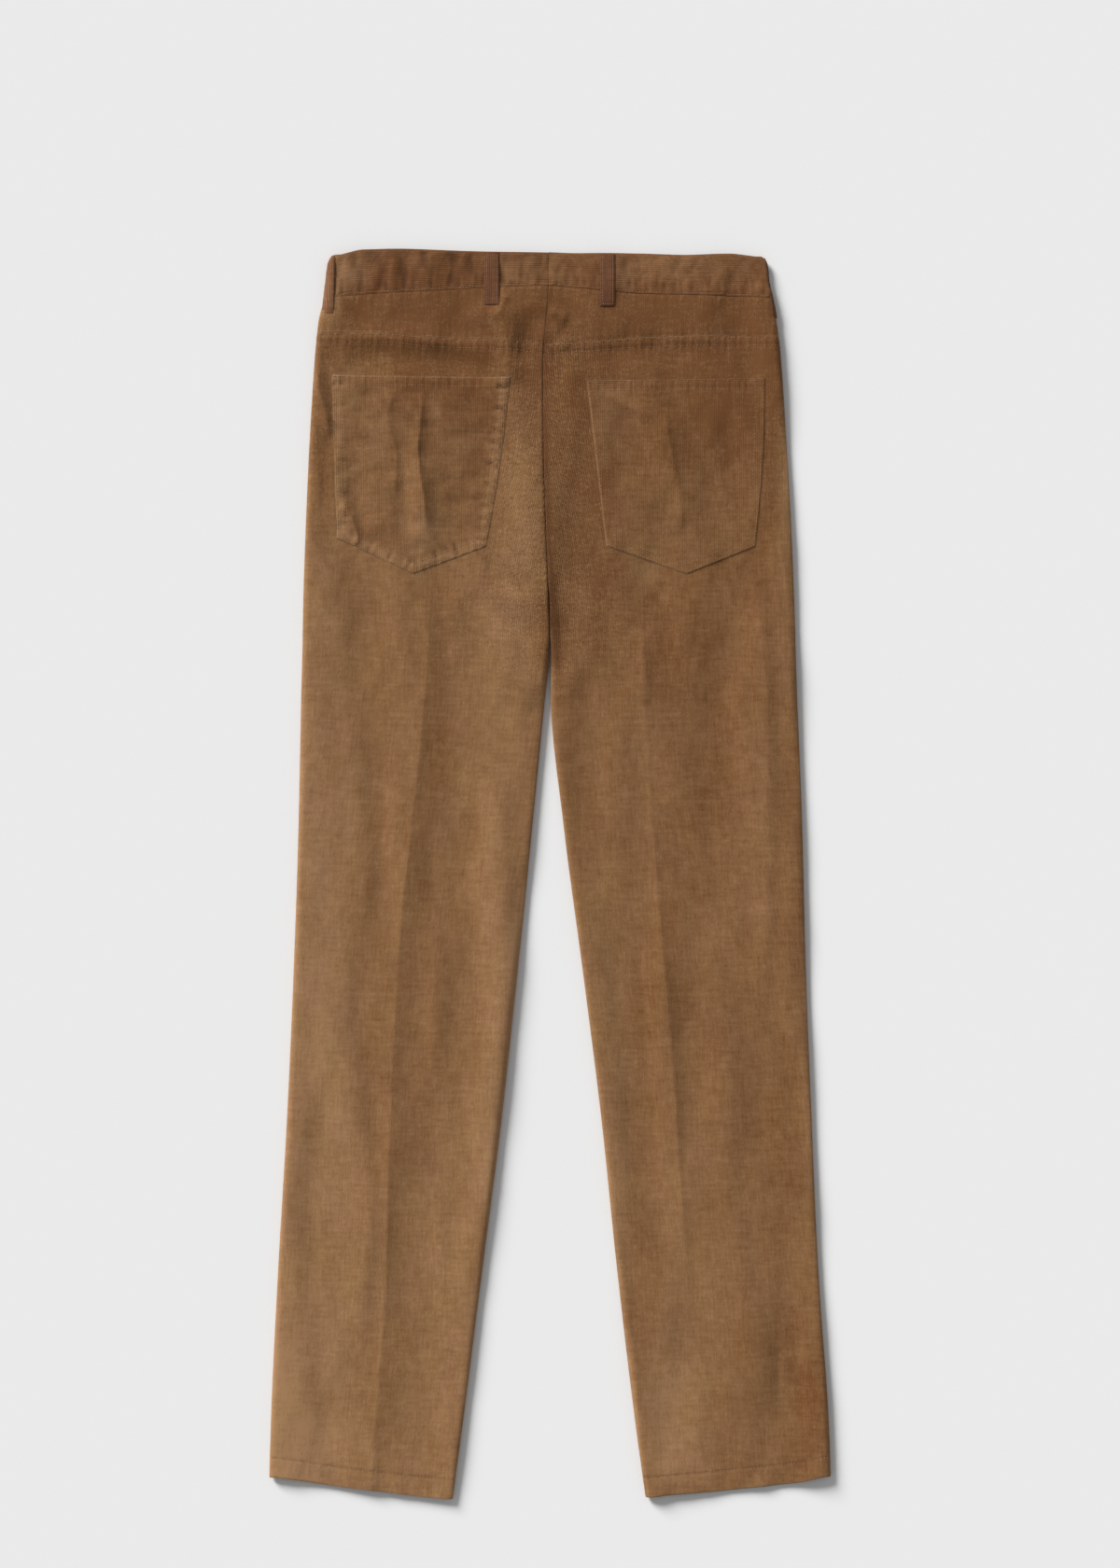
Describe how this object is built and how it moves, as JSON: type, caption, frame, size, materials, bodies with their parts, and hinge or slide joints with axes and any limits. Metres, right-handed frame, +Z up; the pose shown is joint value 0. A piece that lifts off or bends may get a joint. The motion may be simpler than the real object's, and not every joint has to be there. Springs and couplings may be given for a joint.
{
  "type": "corduroy trousers",
  "caption": "Brown corduroy trousers laid flat, back up, with pointed patch pockets, yokes, a waistband with belt loops, a pressed crease down each leg and turned hems.",
  "frame": {"origin": "centre of the bounding box's underside, on the surface that the trousers lie on", "axes": "+Y from the hems to the waist, +X to the right as seen from above with the waist up, +Z up out of the back of the trousers"},
  "size_m": [0.5172, 1.15, 0.0108],
  "materials": {
    "corduroy": "fine-wale corduroy, brown, brushed pile with a soft sheen, wales along the leg",
    "corduroy_band": "the same corduroy with its wales along the waist",
    "corduroy_loop": "the same corduroy, folded narrow and stitched",
    "thread": "tonal sewing thread, a little lighter than the cloth",
    "button": "dark brown, like horn"
  },
  "bodies": {
    "root": {"back_left": "corduroy", "back_right": "corduroy", "yoke_left": "corduroy", "yoke_right": "corduroy", "pocket_left": "corduroy", "pocket_right": "corduroy", "front_left": "corduroy", "front_right": "corduroy", "waistband_left": "corduroy_band", "waistband_right": "corduroy_band", "loop_back_left": "corduroy_loop", "loop_back_right": "corduroy_loop", "loop_side_left": "corduroy_loop", "loop_side_right": "corduroy_loop", "loop_front_left": "corduroy_loop", "loop_front_right": "corduroy_loop", "waist_button": "button"}
  },
  "joints": []
}
